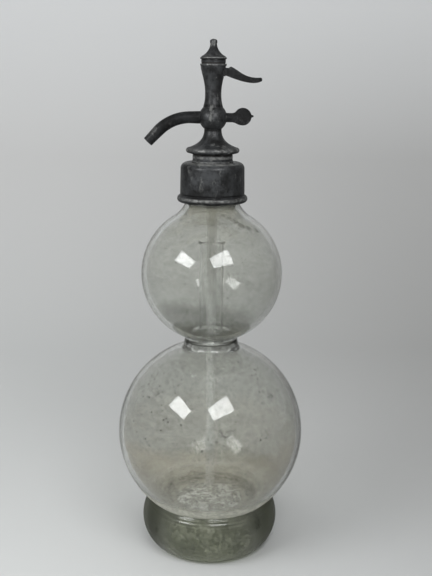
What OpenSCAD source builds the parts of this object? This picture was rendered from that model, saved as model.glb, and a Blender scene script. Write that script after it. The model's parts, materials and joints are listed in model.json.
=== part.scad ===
// Soda siphon of the double-globe kind, standing on its glass foot.
// Two blown globes, one above the other, carry a cast pewter head with a spring-shut valve.
// The thumb lever lifts the valve rod; the whole head unscrews and draws out with its dip tube.
// Origin: centre of the foot, on the surface it stands on. +Z is up, the spout points along -X.

/* [Globes] */
// Outer diameter of the lower globe, which holds the water
lower_globe_d = 158.2; // [130:0.2:200]
// Height of the lower globe's lowest point above the table
globe_lift = 23.8; // [20:0.2:32]
// Outer diameter of the upper globe, which holds the powders
upper_globe_d = 117; // [96:0.2:145]
// Height of the upper globe, a little less than its diameter
upper_globe_h = 113.6; // [92:0.2:142]
// Wall of the blown globes
glass_wall = 3.8; // [3:0.1:4.6]
// Radius of the dome pushed up into the bottom
punt_dome_r = 67.8; // [58:0.2:90]
// Height of the push-up's top above the lower globe's lowest point
punt_rise = 18.2; // [15:0.1:22]

/* [Waist and neck] */
// Outer diameter of the waist
waist_d = 44; // [38:0.2:53]
// Gap between the two globes, measured on the axis
waist_gap = 2.5; // [1:0.1:8]
// Wall of the waist below the ledge that carries the standpipe
waist_wall = 6.5; // [5.5:0.1:8]
// Outer diameter of the neck inside the collar
neck_d = 39.2; // [34:0.2:47.2]
// Wall of the neck
neck_wall = 4.2; // [3:0.1:5]
// Radius of the sweep from the upper globe into the neck
neck_sweep_r = 26; // [16:0.5:32]
// Thickness of the rubber ring between the glass lip and the collar
lip_gasket_h = 2.8; // [2:0.1:4]
// Thickness of the cement between the neck and the collar
cement_t = 3.8; // [2.5:0.1:5]

/* [Foot] */
// Outer diameter of the foot
foot_d = 117.6; // [100:0.2:150]
// Height of the foot's widest point
foot_wide_z = 23.8; // [20:0.2:30]
// Radius of the foot's rounded side
foot_side_r = 30; // [27:0.2:36]
// Radius of the roll under the side
foot_toe_r = 14.7; // [12:0.1:17]
// Depth that grinding takes off the roll to give a flat ring to stand on
foot_ground = 0.35; // [0.2:0.05:0.8]
// Diameter of the hollow under the foot, at the table
foot_hollow_d = 70; // [66:0.5:74]
// Diameter of the hollow where it meets the globe
foot_hollow_top_d = 64; // [63:0.5:68]

/* [Standpipe] */
// Outer diameter of the glass standpipe in the upper globe
standpipe_d = 20.2; // [18.8:0.1:22]
// Wall of the standpipe
standpipe_wall = 1.4; // [1.2:0.1:1.8]
// Height of the standpipe above its ledge
standpipe_h = 85.7; // [60:0.1:96]
// Diameter of the standpipe's fire-polished lip
standpipe_lip_d = 22.5; // [21:0.1:24.5]
// Thickness of the flange that seals it in the waist
standpipe_flange_h = 2.6; // [2:0.1:4]

/* [Collar] */
// Wall of the collar
collar_wall = 2.6; // [2:0.1:4]
// Amount that the collar widens down to its bead
collar_flare = 0.9; // [0:0.1:2]
// Height of the collar without its neck ring
collar_h = 33.2; // [31:0.2:40]
// Radius of the collar's rounded shoulder
collar_shoulder_r = 5; // [3:0.1:6]
// Amount that the bead at the collar's foot stands proud
bead_proud = 2.35; // [1.2:0.05:2.8]
// Radius of the bead's roll
bead_r = 2.9; // [2.2:0.1:3.4]
// Thickness of the collar's top
collar_top_h = 4.4; // [3.5:0.1:6]
// Wall of the ring that the head screws into
collar_ring_wall = 3.7; // [2.5:0.1:5]
// Height of that ring above the shoulder
collar_ring_h = 5.8; // [4:0.1:8]
// Diameter of the screw that joins head and collar
head_screw_d = 25; // [23:0.1:30]

/* [Bell] */
// Thickness of the leather washer under the bell
head_washer_h = 0.6; // [0.4:0.05:1]
// Height of the bell from its washer to the ball
bell_h = 19.2; // [16:0.1:24]
// Diameter of the bell's rim
bell_rim_d = 43.3; // [40:0.1:48]
// Radius of the roll at the rim
bell_roll_r = 2.15; // [1.6:0.05:2.6]
// Diameter of the bell's neck under the ball
bell_neck_d = 14; // [13.6:0.1:16]
// Bore of the water passage through the head
passage_d = 5.2; // [4:0.1:5.6]

/* [Dip tube] */
// Outer diameter of the glass dip tube
dip_tube_d = 8.2; // [6.8:0.1:10]
// Bore of the dip tube
dip_tube_bore = 5; // [3.5:0.1:5.5]
// Gap between the dip tube's end and the push-up
dip_tube_gap = 5.5; // [3:0.1:12]
// Wall of the rubber sleeve round the tube
sleeve_wall = 2.1; // [1.5:0.1:2.5]

/* [Ball and column] */
// Diameter of the ball
ball_d = 22.6; // [21:0.1:27.2]
// Height of the neck ring between bell and ball
under_ball_h = 1; // [0.5:0.1:3]
// Height of the column's waist above the ball's centre
column_waist_h = 18.7; // [15:0.1:22]
// Wall of the column at its waist
column_wall = 2.15; // [1.8:0.05:3.5]
// Height of the column's lip above the lever's slot
column_lip_h = 2; // [1.9:0.1:4]
// Diameter of the moulding at the column's top
column_top_d = 21.3; // [20.6:0.1:24]
// Bore of the column round the spring
spring_bore_d = 8.7; // [8.3:0.1:9.2]
// Diameter of the valve chamber in the ball
chamber_d = 9.4; // [9:0.1:9.8]

/* [Spout] */
// Outer diameter of the spout at the ball
spout_root_d = 10.6; // [10:0.1:12]
// Outer diameter of the spout in its bend
spout_d = 9.5; // [8.8:0.1:11]
// Outer diameter of the spout at its mouth
spout_tip_d = 8.4; // [7.6:0.1:10]
// Bore of the spout
spout_bore = 5.6; // [4:0.1:5.8]
// Distance from the head's axis to the start of the bend
spout_run = 18; // [16:0.5:24]
// Radius of the bend
spout_bend_r = 36.2; // [26:0.2:45]
// Angle of the bend
spout_bend = 46; // [30:1:60]
// Length of the straight end
spout_tail = 12; // [6:0.5:16]

/* [Finger wing] */
// Distance from the head's axis to the middle of the leaf
wing_reach = 23.9; // [21:0.1:30]
// Diameter of the leaf
wing_leaf_d = 13.8; // [11:0.1:18]
// Height of the stem between ball and leaf
wing_stem_h = 7.6; // [6:0.1:9]
// Thickness of the leaf
wing_t = 3.2; // [2.4:0.1:4]
// Diameter of the boss where the stem leaves the ball
wing_boss_d = 8.6; // [8:0.1:10]

/* [Cap] */
// Thickness of the leather washer under the cap
cap_washer_h = 0.6; // [0.4:0.05:1]
// Height of the cap with its finial
cap_h = 18.2; // [16:0.1:22]
// Diameter of the cap's rim
cap_rim_d = 21.2; // [20.6:0.1:24]
// Diameter of the finial's knob
finial_d = 5.8; // [4.8:0.1:7]

/* [Thumb lever] */
// Distance of the pivot from the head's axis
lever_arm = 8; // [7.6:0.1:8.4]
// Height of the pivot above the floor of the lever chamber
pivot_h = 3.8; // [3.7:0.1:4.4]
// Diameter of the lever's pin
pin_d = 2.2; // [1.8:0.1:2.4]
// Thickness of the lever in its slot
lever_t = 5.2; // [4.4:0.1:6.2]
// Wall of the cheeks beside the lever
cheek_t = 2.15; // [1.6:0.05:3]
// Width of the thumb pad
lever_pad_w = 7.8; // [6:0.1:10]
// Length of the lever from its pivot to the tip
lever_reach = 30.8; // [26:0.1:38]
// Angle through which the thumb presses the lever
lever_press = 16; // [10:1:16]

/* [Valve] */
// Diameter of the valve rod
rod_d = 3; // [2.6:0.1:3.2]
// Diameter of the rod where the lever's fork straddles it
rod_tip_d = 2.2; // [1.8:0.1:2.3]
// Bore of the valve seat
seat_bore = 5.8; // [5:0.1:6]
// Diameter of the rubber disc
disc_d = 7.8; // [7.4:0.1:8]
// Thickness of the rubber disc
disc_h = 2; // [1.5:0.1:2.2]
// Height of the leather packing
packing_h = 3; // [2:0.1:3.2]
// Height of the nut on the packing
gland_h = 2.5; // [2:0.1:2.8]
// Space for the spring between its collar and its bush
spring_len = 12.6; // [10.5:0.1:15.2]
// Wire of the spring
spring_wire = 0.9; // [0.7:0.05:1]
// Number of the spring's turns
spring_turns = 6; // [5:1:7]

/* [Fits] */
// Clearance all round a rod, pin or screw in its bore
running_gap = 0.06; // [0.03:0.01:0.1]
// Clearance beside the lever and under its nut
joint_gap = 0.25; // [0.2:0.05:0.35]
// Gap between the rubber disc and its seat
seat_gap = 0.1; // [0.05:0.05:0.2]

/* [Hidden] */
$fn = 96;
over = 1;       // how far a cut runs past the face it opens
crossing = 0.03; // how far a sweep bites into the globe it blends with

// Colours as they look on the old siphon
clear_glass = [0.80, 0.84, 0.80, 0.35];
foot_glass = [0.50, 0.52, 0.44, 0.6];
pewter = [0.27, 0.28, 0.28];
old_brass = [0.62, 0.50, 0.28];
old_steel = [0.42, 0.42, 0.41];
black_rubber = [0.13, 0.12, 0.12];
old_leather = [0.40, 0.27, 0.17];
old_cement = [0.72, 0.68, 0.58];

// Globes
lower_r = lower_globe_d / 2;
lower_z = globe_lift + lower_r;
lower_in = lower_r - glass_wall;
upper_v = upper_globe_h / 2;
upper_flat = upper_globe_d / 2 - upper_v;  // radius of the flat that makes the globe stouter
upper_z = lower_z + lower_r + waist_gap + upper_v;
upper_in = upper_v - glass_wall;
waist_r = waist_d / 2;
ledge_r = waist_r - waist_wall;
flange_r = waist_r - glass_wall - 0.6;
punt_z = globe_lift + punt_rise - punt_dome_r;  // centre of the push-up's dome
waist_sweep_r = 3;  // radius of the sweep from the waist into the upper globe

// Ledge in the waist, on which the standpipe's flange is fused
ledge_z = lower_z + lower_r + 1;

// Neck and collar. The collar stands clear of the globe, and clear of the sweep into the neck
// down to where that has used up most of the room for cement.
neck_r = neck_d / 2;
foot_gap = 1;  // height of the collar's foot above collar_z
swept = neck_sweep_r - cement_t + 1;
neck_sweep_dz = sweep_dz(neck_r, neck_sweep_r, upper_v);
sweep_clear_z = neck_sweep_dz - sqrt(pow(neck_sweep_r, 2) - pow(swept, 2));
collar_z = upper_z + max(upper_v + waist_gap, sweep_clear_z - foot_gap);
sweep_foot = upper_z + neck_sweep_dz * upper_v / (upper_v + neck_sweep_r);
collar_in = neck_r + cement_t;
collar_r = collar_in + collar_wall;
shoulder_z = collar_z + collar_h;
scribe_r = 0.45;  // radius of the tool that scribes lines round the turned parts
collar_roof = shoulder_z - collar_top_h;
neck_top = collar_roof - lip_gasket_h;
ring_top = shoulder_z + collar_ring_h;
screw_r = head_screw_d / 2;
screw_bore = screw_r + running_gap;
ring_r = screw_r + collar_ring_wall;

// Head, from the bell upwards
bell_z = ring_top + head_washer_h;
bell_top = bell_z + bell_h;
neck_ring_r = bell_neck_d / 2;
ball_r = ball_d / 2;
ball_z = bell_top + under_ball_h + sqrt(ball_r * ball_r - neck_ring_r * neck_ring_r);
passage_r = passage_d / 2;

// Screw spigot of the bell, above and below
top_spigot_r = chamber_d / 2 + 0.3;
top_spigot_h = 3.8;
nipple_h = 13;
spigot_z = neck_top + 1;
nipple_z = spigot_z - nipple_h;

// Dip tube and what grips it
tube_r = dip_tube_d / 2;
sleeve_r = tube_r + sleeve_wall;
nipple_wall = 2.4;
nipple_r = sleeve_r + nipple_wall;
tube_nut_wall = 2;
nut_r = nipple_r + tube_nut_wall;
tube_nut_floor = 2.2;
tube_nut_grip = 7;  // length of the nut that is screwed on the nipple
sleeve_z = nipple_z - 1;
tube_nut_z = sleeve_z - tube_nut_floor;
sleeve_h = 17;  // length of the sleeve inside the nipple
sleeve_top = nipple_z + sleeve_h;
tube_end = globe_lift + punt_rise + dip_tube_gap;

// Valve, stacked upwards from the bell's top spigot
seat_r = top_spigot_r;
seat_z = bell_top + top_spigot_h;
seat_h = 3.2;
seat_rim_h = 0.6;
seat_rim_w = 0.6;
disc_z = seat_z + seat_h + seat_rim_h + seat_gap;
cup_h = 1.2;
cup_z = disc_z + disc_h;
chamber_h = 5.2;  // height of the valve chamber above the ball's centre
chamber_top = ball_z + chamber_h;
web_h = 2;  // solid metal between the valve chamber and the packing
packing_z = chamber_top + web_h;
gland_z = packing_z + packing_h;
lift = lever_arm * lever_press * PI / 180;
spring_collar_h = 1.4;
spring_collar_z = gland_z + gland_h + 1;
spring_z = spring_collar_z + spring_collar_h;
spring_top = spring_z + spring_len;
bush_h = 3.4;
bush_head_h = 0.8;
spring_bore_r = spring_bore_d / 2;
column_waist_r = spring_bore_r + column_wall;
bush_step = spring_top + bush_h;
chamber_floor = bush_step + bush_head_h;
rod_r = rod_d / 2;
rod_tip_r = rod_tip_d / 2;
rod_bore = rod_r + running_gap;

// Lever chamber, its slot and its cheeks
lever_bore_r = 5.6;  // radius of the chamber at the column's top, which the cap screws into
pivot_z = chamber_floor + pivot_h;
nose_r = 1.7;  // radius of the lever's nose, under the lift nut
slot_w = lever_t + 2 * joint_gap;
slot_top = pivot_z + 4.2;
cheek_w = slot_w + 2 * cheek_t;
cheek_x = lever_arm + 2.7;  // outer face of the cheeks
cheek_r = 3.7;  // radius of their rounding about the pin
hub_r = 2.9;    // radius of the lever's hub
lift_nut_z = pivot_z + nose_r + joint_gap - 0.1;
lift_nut_h = 1.75;
lift_nut_r = 3.1;
rod_end = lift_nut_z + lift_nut_h + 0.5;

// Cap
shank_r = lever_bore_r - running_gap;
shank_h = 1.7;
cap_hollow_r = 4.1;
cap_hollow_h = lift + 0.2;  // leaves the rod room to rise
cap_band_r = column_top_d / 2 - 0.9;
column_top = slot_top + column_lip_h;
cap_z = column_top + cap_washer_h;

// Points of a cubic curve from a to d, drawn towards b and c on the way
function curve(a, b, c, d, n = 10) = [
    for (i = [0:n])
        let (t = i / n, s = 1 - t)
        s * s * s * a + 3 * s * s * t * b + 3 * s * t * t * c + t * t * t * d
];

// The same points in the other order: outlines run anticlockwise throughout
function backwards(points) = [for (i = [len(points) - 1:-1:0]) points[i]];

// Rod between two heights
module rod(r, low, high) {
    translate([0, 0, low]) cylinder(r = r, h = high - low);
}

// Ring between two heights
module ring(r_out, r_in, low, high) {
    difference() {
        rod(r_out, low, high);
        rod(r_in, low - over, high + over);
    }
}

// Round spot in an outline, which turns into a bead or a rolled edge
module roll(path_r, z, roll_r) {
    translate([path_r, z]) circle(r = roll_r);
}

// Keeps the half of an outline that lies to the right of the axis
module half(low, high, width) {
    intersection() {
        children();
        translate([0, low]) square([width, high - low]);
    }
}

// ---------- Glass ----------

// Outline of the upper globe, stouter than round by a narrow flat at each pole
module upper_outline(r) {
    translate([upper_flat, upper_z]) circle(r = r, $fn = 180);
    translate([-over, upper_z - r]) square([upper_flat + over, 2 * r]);
}

// Height of a sweep's centre over the upper globe's, where an arc of radius sweep_r
// leads from a globe of radius v into a cylinder of radius r
function sweep_dz(r, sweep_r, v) =
    sqrt(pow(v + sweep_r - crossing, 2) - pow(r + sweep_r - crossing - upper_flat, 2));

// Concave sweep between the upper globe, at radius v, and a neck (side = 1) or waist (side = -1)
module sweep(r, sweep_r, side, v) {
    dz = side * sweep_dz(r, sweep_r, v);
    centre = [r + sweep_r - crossing, upper_z + dz];
    touch = [upper_flat, upper_z] + (centre - [upper_flat, upper_z]) * v / (v + sweep_r);
    corners = [[-over, upper_z + dz], centre, touch, [-over, touch[1] - side * 4]];
    difference() {
        polygon(side < 0 ? corners : backwards(corners));
        translate(centre) circle(r = sweep_r, $fn = 180);
    }
}

// Outline of the blown bottle, outside
module bottle_outline() {
    translate([0, lower_z]) circle(r = lower_r, $fn = 180);
    upper_outline(upper_v);
    translate([-over, lower_z]) square([waist_r + over, upper_z - lower_z]);
    sweep(waist_r, waist_sweep_r, -1, upper_v);
    sweep(neck_r, neck_sweep_r, 1, upper_v);
    translate([-over, upper_z]) square([neck_r + over, neck_top + over - upper_z]);
}

// Outline of the hollow, from the push-up to the mouth. It follows the sweep into the neck.
module bottle_hollow() {
    difference() {
        translate([0, lower_z]) circle(r = lower_in, $fn = 180);
        translate([0, punt_z]) circle(r = punt_dome_r, $fn = 180);
    }
    upper_outline(upper_in);
    sweep(neck_r - neck_wall, neck_sweep_r + neck_wall, 1, upper_in);
    translate([-over, lower_z]) square([ledge_r + over, upper_z - lower_z]);
    translate([-over, ledge_z]) square([flange_r + over, upper_z - ledge_z]);
    translate([-over, upper_z]) square([neck_r - neck_wall + over, neck_top + over - upper_z]);
}

// Part of the bottle between two heights. The two globes are blown apart and fused at the waist,
// level with the ledge that the standpipe stands on. The neck begins where its sweep does.
module blown(low, high) {
    color(clear_glass) rotate_extrude() half(low, high, lower_globe_d) difference() {
        bottle_outline();
        bottle_hollow();
        translate([0, punt_z]) circle(r = punt_dome_r - glass_wall, $fn = 180);
    }
}

module lower_globe() {
    blown(0, ledge_z);
}

module upper_globe() {
    blown(ledge_z, sweep_foot);
}

module glass_neck() {
    blown(sweep_foot, neck_top);
}

// Foot: a rounded ring of thick glass, ground flat below and seated on the globe
module glass_foot() {
    side = [foot_d / 2 - foot_side_r, foot_wide_z];
    toe_z = foot_toe_r - foot_ground;
    // the toe's centre lies where its roll runs into the side without a step
    toe_x = side[0] + sqrt(pow(foot_side_r - foot_toe_r, 2) - pow(side[1] - toe_z, 2));
    toe_centre = [toe_x, toe_z];
    color(foot_glass) rotate_extrude() difference() {
        union() {
            roll(toe_x, toe_z, foot_toe_r - crossing, $fn = 180);
            intersection() {
                roll(side[0], side[1], foot_side_r, $fn = 180);
                polygon([
                    side, toe_centre, toe_centre * 2 - side,
                    [foot_d, foot_wide_z], [foot_d, lower_z], [side[0], lower_z]
                ]);
            }
            polygon([[side[0], 0], [toe_x, 0], toe_centre, side]);
        }
        translate([0, lower_z]) circle(r = lower_r, $fn = 180);
        translate([0, -foot_toe_r]) square([foot_d, foot_toe_r]);
        polygon([
            [0, -over], [foot_hollow_d / 2, -over], [foot_hollow_top_d / 2, globe_lift + 4],
            [foot_hollow_top_d / 2, lower_z], [0, lower_z]
        ]);
    }
}

// Standpipe: flange, tube and fire-polished lip
module standpipe() {
    pipe_r = standpipe_d / 2;
    bore_r = pipe_r - standpipe_wall;
    lip_r = (standpipe_lip_d / 2 - bore_r) / 2;
    top = ledge_z + standpipe_h;
    flange_top = ledge_z + standpipe_flange_h;
    color(clear_glass) rotate_extrude() {
        polygon(concat(
            [[bore_r, ledge_z], [flange_r, ledge_z], [flange_r, flange_top]],
            curve(
                [pipe_r + 3, flange_top], [pipe_r + 0.6, flange_top],
                [pipe_r, flange_top + 1], [pipe_r, flange_top + 4], 6
            ),
            [[pipe_r, top - 6], [bore_r + lip_r, top - lip_r], [bore_r, top - lip_r]]
        ));
        roll(bore_r + lip_r, top - lip_r, lip_r);
    }
}

// ---------- Collar ----------

module collar() {
    low_r = collar_r + collar_flare / 2;
    foot_z = collar_z + foot_gap;
    bead_z = foot_z + bead_r;
    bead_x = low_r + bead_proud - bead_r;
    corner = [collar_r - collar_shoulder_r, shoulder_z - collar_shoulder_r];
    color(pewter) rotate_extrude() difference() {
        union() {
            polygon([
                [screw_bore, foot_z], [collar_in + 1.2, foot_z],
                [bead_x, bead_z], [low_r, bead_z],
                [collar_r, corner[1]], corner,
                [corner[0], shoulder_z], [screw_bore, shoulder_z]
            ]);
            roll(corner[0], corner[1], collar_shoulder_r);
            roll(bead_x, bead_z, bead_r);
            translate([screw_bore, corner[1]]) square([collar_ring_wall, ring_top - corner[1]]);
            roll(ring_r - 0.4, shoulder_z + 0.7, 1);
        }
        translate([0, collar_z - over]) square([collar_in, collar_roof - collar_z + over]);
        // lines scribed round the shoulder and above the bead
        roll(corner[0] - 0.2, shoulder_z + 0.15, scribe_r);
        roll(low_r + 0.15, bead_z + bead_r + 1.1, scribe_r);
    }
}

// Cement poured between the glass neck and the collar
module neck_cement() {
    color(old_cement) rotate_extrude() difference() {
        translate([ledge_r, collar_z + 1.4]) square([collar_in - ledge_r, neck_top - collar_z - 1.4]);
        bottle_outline();
    }
}

module lip_gasket() {
    color(black_rubber) ring(collar_in - 1, screw_bore + 1, neck_top, collar_roof);
}

module head_washer() {
    color(old_leather) ring(ring_r - 0.3, screw_bore + 0.2, ring_top, bell_z);
}

// ---------- Head ----------

module bell_flange() {
    rim_r = bell_rim_d / 2 - bell_roll_r;
    rim_z = bell_z + bell_roll_r + 1;
    color(pewter) difference() {
        rotate_extrude() {
            polygon(concat(
                [[0, bell_z], [ring_r, bell_z], [rim_r, rim_z - bell_roll_r + crossing]],
                curve(
                    [rim_r, rim_z + bell_roll_r - crossing], [neck_ring_r + 4, bell_top - 10.8],
                    [neck_ring_r + 0.6, bell_top - 7], [neck_ring_r, bell_top - 0.8], 12
                ),
                [[neck_ring_r, bell_top], [0, bell_top]]
            ));
            roll(rim_r, rim_z, bell_roll_r);
            translate([0, bell_top - over]) square([top_spigot_r, over + top_spigot_h]);
            translate([0, spigot_z]) square([screw_r, bell_z + over - spigot_z]);
            translate([0, nipple_z]) square([nipple_r, spigot_z + over - nipple_z]);
        }
        rod(passage_r, sleeve_top, seat_z + over);
        rod(sleeve_r, nipple_z - over, sleeve_top);
    }
}

module tube_sleeve() {
    color(black_rubber) ring(sleeve_r, tube_r, sleeve_z, sleeve_top);
}

// Ring nut: a turned cup with eight grip notches round its rim
module tube_nut() {
    notches = 8;
    notch_r = 1.1;
    color(old_brass) difference() {
        rod(nut_r, tube_nut_z, nipple_z + tube_nut_grip);
        rod(nipple_r + running_gap, sleeve_z, nipple_z + tube_nut_grip + over);
        rod(tube_r + joint_gap, tube_nut_z - over, sleeve_z + over);
        for (i = [0:notches - 1])
            rotate([0, 0, i * 360 / notches])
                translate([nut_r + notch_r / 2, 0, 0])
                    rod(notch_r, tube_nut_z - over, nipple_z + tube_nut_grip + over);
    }
}

module dip_tube() {
    color(clear_glass) ring(tube_r, dip_tube_bore / 2, tube_end, sleeve_top);
}

// Slot that the lever works in, open on the +X side
module lever_slot() {
    translate([0, -slot_w / 2, chamber_floor])
        cube([cheek_x + over, slot_w, slot_top - chamber_floor]);
}

// Cheeks on the column that carry the lever's pin, rounded over at their outer corners
module cheeks() {
    root = column_waist_r - 2;
    translate([0, cheek_w / 2, pivot_z]) rotate([90, 0, 0]) linear_extrude(height = cheek_w)
        intersection() {
            translate([root, -cheek_r]) square([cheek_x - root, 2 * cheek_r]);
            union() {
                translate([root, -cheek_r]) square([lever_arm - root, 2 * cheek_r]);
                translate([lever_arm, 0]) circle(r = cheek_r);
            }
        }
}

module valve_body() {
    top_r = column_top_d / 2;
    root_r = column_waist_r + 1.6;
    root_z = ball_z + sqrt(ball_r * ball_r - root_r * root_r);
    waist_z = ball_z + column_waist_h;
    lip_r = 0.85;
    color(pewter) difference() {
        union() {
            rotate_extrude() {
                half(bell_top, column_top, ball_r + over) translate([0, ball_z]) circle(r = ball_r);
                translate([0, bell_top]) square([neck_ring_r, ball_z - bell_top]);
                polygon(concat(
                    [[0, ball_z], [root_r, root_z - 0.6]],
                    curve(
                        [root_r, root_z - 0.2], [root_r - 0.8, root_z + 3],
                        [column_waist_r, waist_z - 6], [column_waist_r, waist_z], 8
                    ),
                    curve(
                        [column_waist_r, waist_z + 0.5], [column_waist_r, waist_z + 8],
                        [column_waist_r + 2.1, waist_z + 13], [top_r - 0.35, column_top - 2.2], 10
                    ),
                    [[top_r - lip_r, column_top - 0.05], [0, column_top - 0.05]]
                ));
                roll(top_r - lip_r, column_top - lip_r - 0.05, lip_r);
                translate([0, column_top - 1]) square([top_r - lip_r - 0.3, 1]);
            }
            cheeks();
        }
        // groove scribed under the moulding at the top
        rotate_extrude() roll(top_r - 0.25, column_top - 2.7, scribe_r);
        rod(top_spigot_r + running_gap, bell_top - over, seat_z + seat_h);
        rod(chamber_d / 2, seat_z, chamber_top);
        rod(rod_r + 0.4, chamber_top - over, packing_z + over);
        rod(spring_bore_r, packing_z, bush_step + over);
        rod(lever_bore_r, bush_step, column_top + over);
        translate([0, 0, ball_z]) rotate([0, -90, 0])
            cylinder(r = spout_bore / 2, h = ball_r + over);
        lever_slot();
        translate([lever_arm, 0, pivot_z]) rotate([90, 0, 0])
            cylinder(r = pin_d / 2, h = 2 * cheek_w, center = true);
    }
}

// Path of the spout: straight out of the ball, round the bend and down to the mouth
module spout_path(root_r, bend_r, tip_r, past) {
    lap = 0.3;
    translate([0, 0, ball_z]) rotate([0, -90, 0]) cylinder(r1 = root_r, r2 = bend_r, h = spout_run);
    translate([-spout_run, 0, ball_z - spout_bend_r]) {
        rotate([90, 0, 0]) rotate([0, 0, 90]) rotate_extrude(angle = spout_bend)
            translate([spout_bend_r, 0]) circle(r = bend_r);
        rotate([0, -spout_bend, 0]) translate([lap, 0, spout_bend_r]) rotate([0, -90, 0])
            cylinder(r1 = bend_r - crossing, r2 = tip_r, h = spout_tail + lap + past);
    }
}

module spout() {
    color(pewter) difference() {
        spout_path(spout_root_d / 2, spout_d / 2, spout_tip_d / 2, 0);
        spout_path(spout_bore / 2, spout_bore / 2, spout_bore / 2 - crossing, over);
        translate([0, 0, ball_z]) sphere(r = ball_r);
    }
}

// Finger wing: a boss on the ball, a flat stem and a leaf with a pointed tip
module finger_wing() {
    leaf_r = wing_leaf_d / 2;
    stem = wing_stem_h / 2;
    leaf_rise = 0.9;
    tip = 1;
    throat = wing_reach - leaf_r - 1.5;
    boss_x = ball_r - 2.5;
    color(pewter) difference() {
        union() {
            translate([0, wing_t / 2, ball_z]) rotate([90, 0, 0]) linear_extrude(height = wing_t) {
                translate([wing_reach, leaf_rise]) circle(r = leaf_r);
                polygon(concat(
                    [[0, -stem], [throat - 2, -stem + 0.2]],
                    curve([throat, -stem + 0.2], [throat + 3, -stem],
                        [wing_reach - 4, leaf_rise - leaf_r],
                        [wing_reach - 1, leaf_rise - leaf_r + 0.1], 6),
                    curve([wing_reach - 1, leaf_rise + leaf_r - 0.1], [wing_reach - 4, leaf_r],
                        [throat + 3, stem], [throat, stem - 0.2], 6),
                    [[throat - 2, stem - 0.2], [0, stem]]
                ));
                translate([wing_reach + leaf_r, leaf_rise + 0.4]) {
                    polygon([
                        [-2, -3.2], [-0.3, -1.4], [tip, -tip / 2],
                        [tip, tip / 2], [-0.3, 1.4], [-2, 3.2]
                    ]);
                    translate([tip - 0.1, 0]) circle(r = tip - 0.2);
                }
            }
            translate([boss_x, 0, ball_z]) rotate([0, 90, 0])
                cylinder(r1 = wing_boss_d / 2, r2 = wing_t / 2 + 0.3, h = throat - boss_x);
        }
        translate([0, 0, ball_z]) sphere(r = ball_r);
    }
}

module cap_washer() {
    color(old_leather) ring(cap_band_r - 0.3, shank_r + running_gap, column_top, cap_z);
}

module top_cap() {
    rim_r = cap_rim_d / 2;
    rim_z = cap_z + 3.5;
    knob_r = finial_d / 2;
    knob_h = 3.6;
    dome_r = knob_r * 1.35;
    top = cap_z + cap_h;
    color(pewter) difference() {
        rotate_extrude() {
            polygon(concat(
                [[0, cap_z], [cap_band_r, cap_z], [cap_band_r, rim_z - 1.2],
                 [rim_r - 0.9, rim_z - 0.9], [rim_r - 0.9, rim_z + 0.9]],
                curve(
                    [rim_r - 1.2, rim_z + 1.5], [rim_r - 4.4, rim_z + 3],
                    [knob_r + 0.3, rim_z + 6.2], [knob_r - 0.25, top - 4.3], 12
                ),
                [[knob_r - 0.2, top - knob_h], [0, top - knob_h]]
            ));
            roll(rim_r - 0.9, rim_z, 0.9);
            intersection() {
                half(cap_z, top, finial_d) translate([0, top - dome_r]) circle(r = dome_r);
                polygon([
                    [0, top - knob_h - 0.1], [knob_r - 0.25, top - knob_h - 0.1],
                    [knob_r, top - knob_h + 0.8], [knob_r, top + over], [0, top + over]
                ]);
            }
            translate([0, column_top - shank_h]) square([shank_r, cap_z + over - column_top + shank_h]);
        }
        rod(cap_hollow_r, column_top - shank_h - over, cap_z + cap_hollow_h);
    }
}

module lever_pin() {
    color(old_steel) translate([lever_arm, 0, pivot_z]) rotate([90, 0, 0])
        cylinder(r = pin_d / 2, h = cheek_w - 0.2, center = true);
}

// ---------- Valve ----------

module valve_seat() {
    rim_r = seat_bore / 2 + seat_rim_w;
    color(old_brass) difference() {
        union() {
            rod(seat_r, seat_z, seat_z + seat_h);
            rod(rim_r, seat_z, seat_z + seat_h + seat_rim_h);
        }
        rod(seat_bore / 2, seat_z - over, seat_z + seat_h + seat_rim_h + over);
    }
}

module rod_packing() {
    color(old_leather) ring(spring_bore_r, rod_bore, packing_z, gland_z);
}

// Gland nut with a driver slot across its top
module gland_nut() {
    slot = 1.2;
    slot_depth = 0.9;
    color(old_brass) difference() {
        ring(spring_bore_r, rod_r + joint_gap, gland_z, gland_z + gland_h);
        translate([-spring_bore_d, -slot / 2, gland_z + gland_h - slot_depth])
            cube([2 * spring_bore_d, slot, 2]);
    }
}

// Bush over the spring: screwed into the column, it guides the rod
module spring_bush() {
    slot = 1.4;
    slot_depth = 0.5;
    color(old_brass) difference() {
        union() {
            rod(spring_bore_r, spring_top, bush_step);
            rod(lever_bore_r - running_gap, bush_step, chamber_floor);
        }
        rod(rod_bore, spring_top - over, chamber_floor + over);
        translate([-spring_bore_d, -slot / 2, chamber_floor - slot_depth])
            cube([2 * spring_bore_d, slot, 2]);
    }
}

module valve_rod() {
    below_disc = 1.7;
    cup_edge = 0.1;
    shoulder = 0.4;  // height above the bush at which the rod narrows for the fork
    color(old_brass) union() {
        rod(rod_tip_r, disc_z - below_disc, cup_z + cup_edge);
        rod(disc_d / 2 + cup_edge, cup_z, cup_z + cup_h);
        rod(rod_r, cup_z, chamber_floor + shoulder);
        rod(rod_tip_r, chamber_floor, rod_end);
    }
}

module valve_washer() {
    color(black_rubber) ring(disc_d / 2, rod_tip_r, disc_z, cup_z);
}

// Hexagonal nut under the rubber disc
module washer_nut() {
    height = 1.3;
    corner_r = seat_bore / 2 - 0.7;
    color(old_brass) difference() {
        translate([0, 0, disc_z - height]) cylinder(r = corner_r, h = height, $fn = 6);
        rod(rod_tip_r, disc_z - height - over, disc_z + over);
    }
}

module spring_collar() {
    color(old_brass) ring(spring_bore_r - 0.7, rod_r, spring_collar_z, spring_z);
}

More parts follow.
